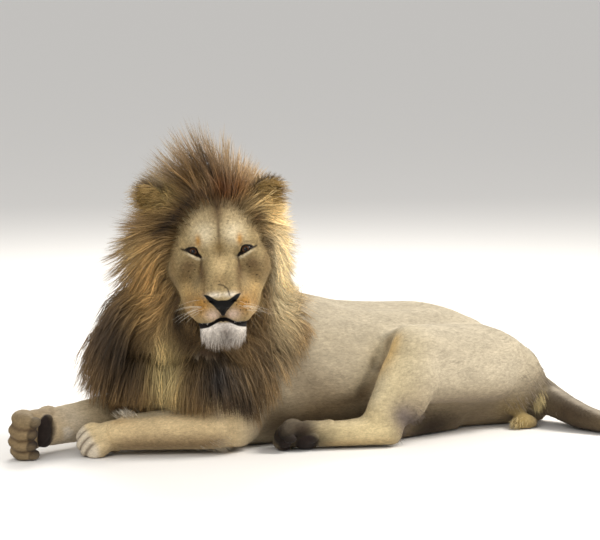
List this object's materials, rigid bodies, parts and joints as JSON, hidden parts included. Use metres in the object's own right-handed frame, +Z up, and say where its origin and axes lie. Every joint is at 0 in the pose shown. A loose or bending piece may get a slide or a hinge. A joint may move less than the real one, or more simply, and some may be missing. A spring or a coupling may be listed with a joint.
{
  "type": "lying male lion, still life-size model",
  "caption": "Life-size still model of an adult male lion lying at rest, head raised and turned to its left, full mane, forelegs stretched out, hind legs folded to one side.",
  "frame": {"origin": "on the floor, under the middle of the model's bounding box", "axes": "+X from the head end towards the tail, +Y towards the lion's right side, +Z up"},
  "size_m": [2.3962, 0.9176, 0.9696],
  "materials": {
    "coat": "short tawny fur, cream on the legs and belly",
    "mane": "long hair, olive brown to dark brown with blond locks",
    "eye": "wet and glossy, amber",
    "nose_leather": "black, pebbled, half gloss"
  },
  "bodies": {
    "root": {"ear_left": "coat", "ear_right": "coat", "eye_left": "eye", "eye_right": "eye", "foreleg_left_forearm": "coat", "foreleg_left_upper": "coat", "foreleg_right_forearm": "coat", "foreleg_right_upper": "coat", "forepaw_left": "coat", "forepaw_right": "coat", "head": "coat", "hindleg_left_foot": "coat", "hindleg_left_shank": "coat", "hindleg_left_thigh": "coat", "hindleg_right_foot": "coat", "hindleg_right_shank": "coat", "hindleg_right_thigh": "coat", "hindpaw_left": "coat", "hindpaw_right": "coat", "lower_jaw": "coat", "mane_chest": "mane", "mane_crown": "mane", "neck": "mane", "nose": "nose_leather", "scrotum": "coat", "tail_base": "coat", "tail_end": "coat", "tail_middle": "coat", "tail_tuft": "mane", "trunk": "coat"}
  },
  "joints": []
}
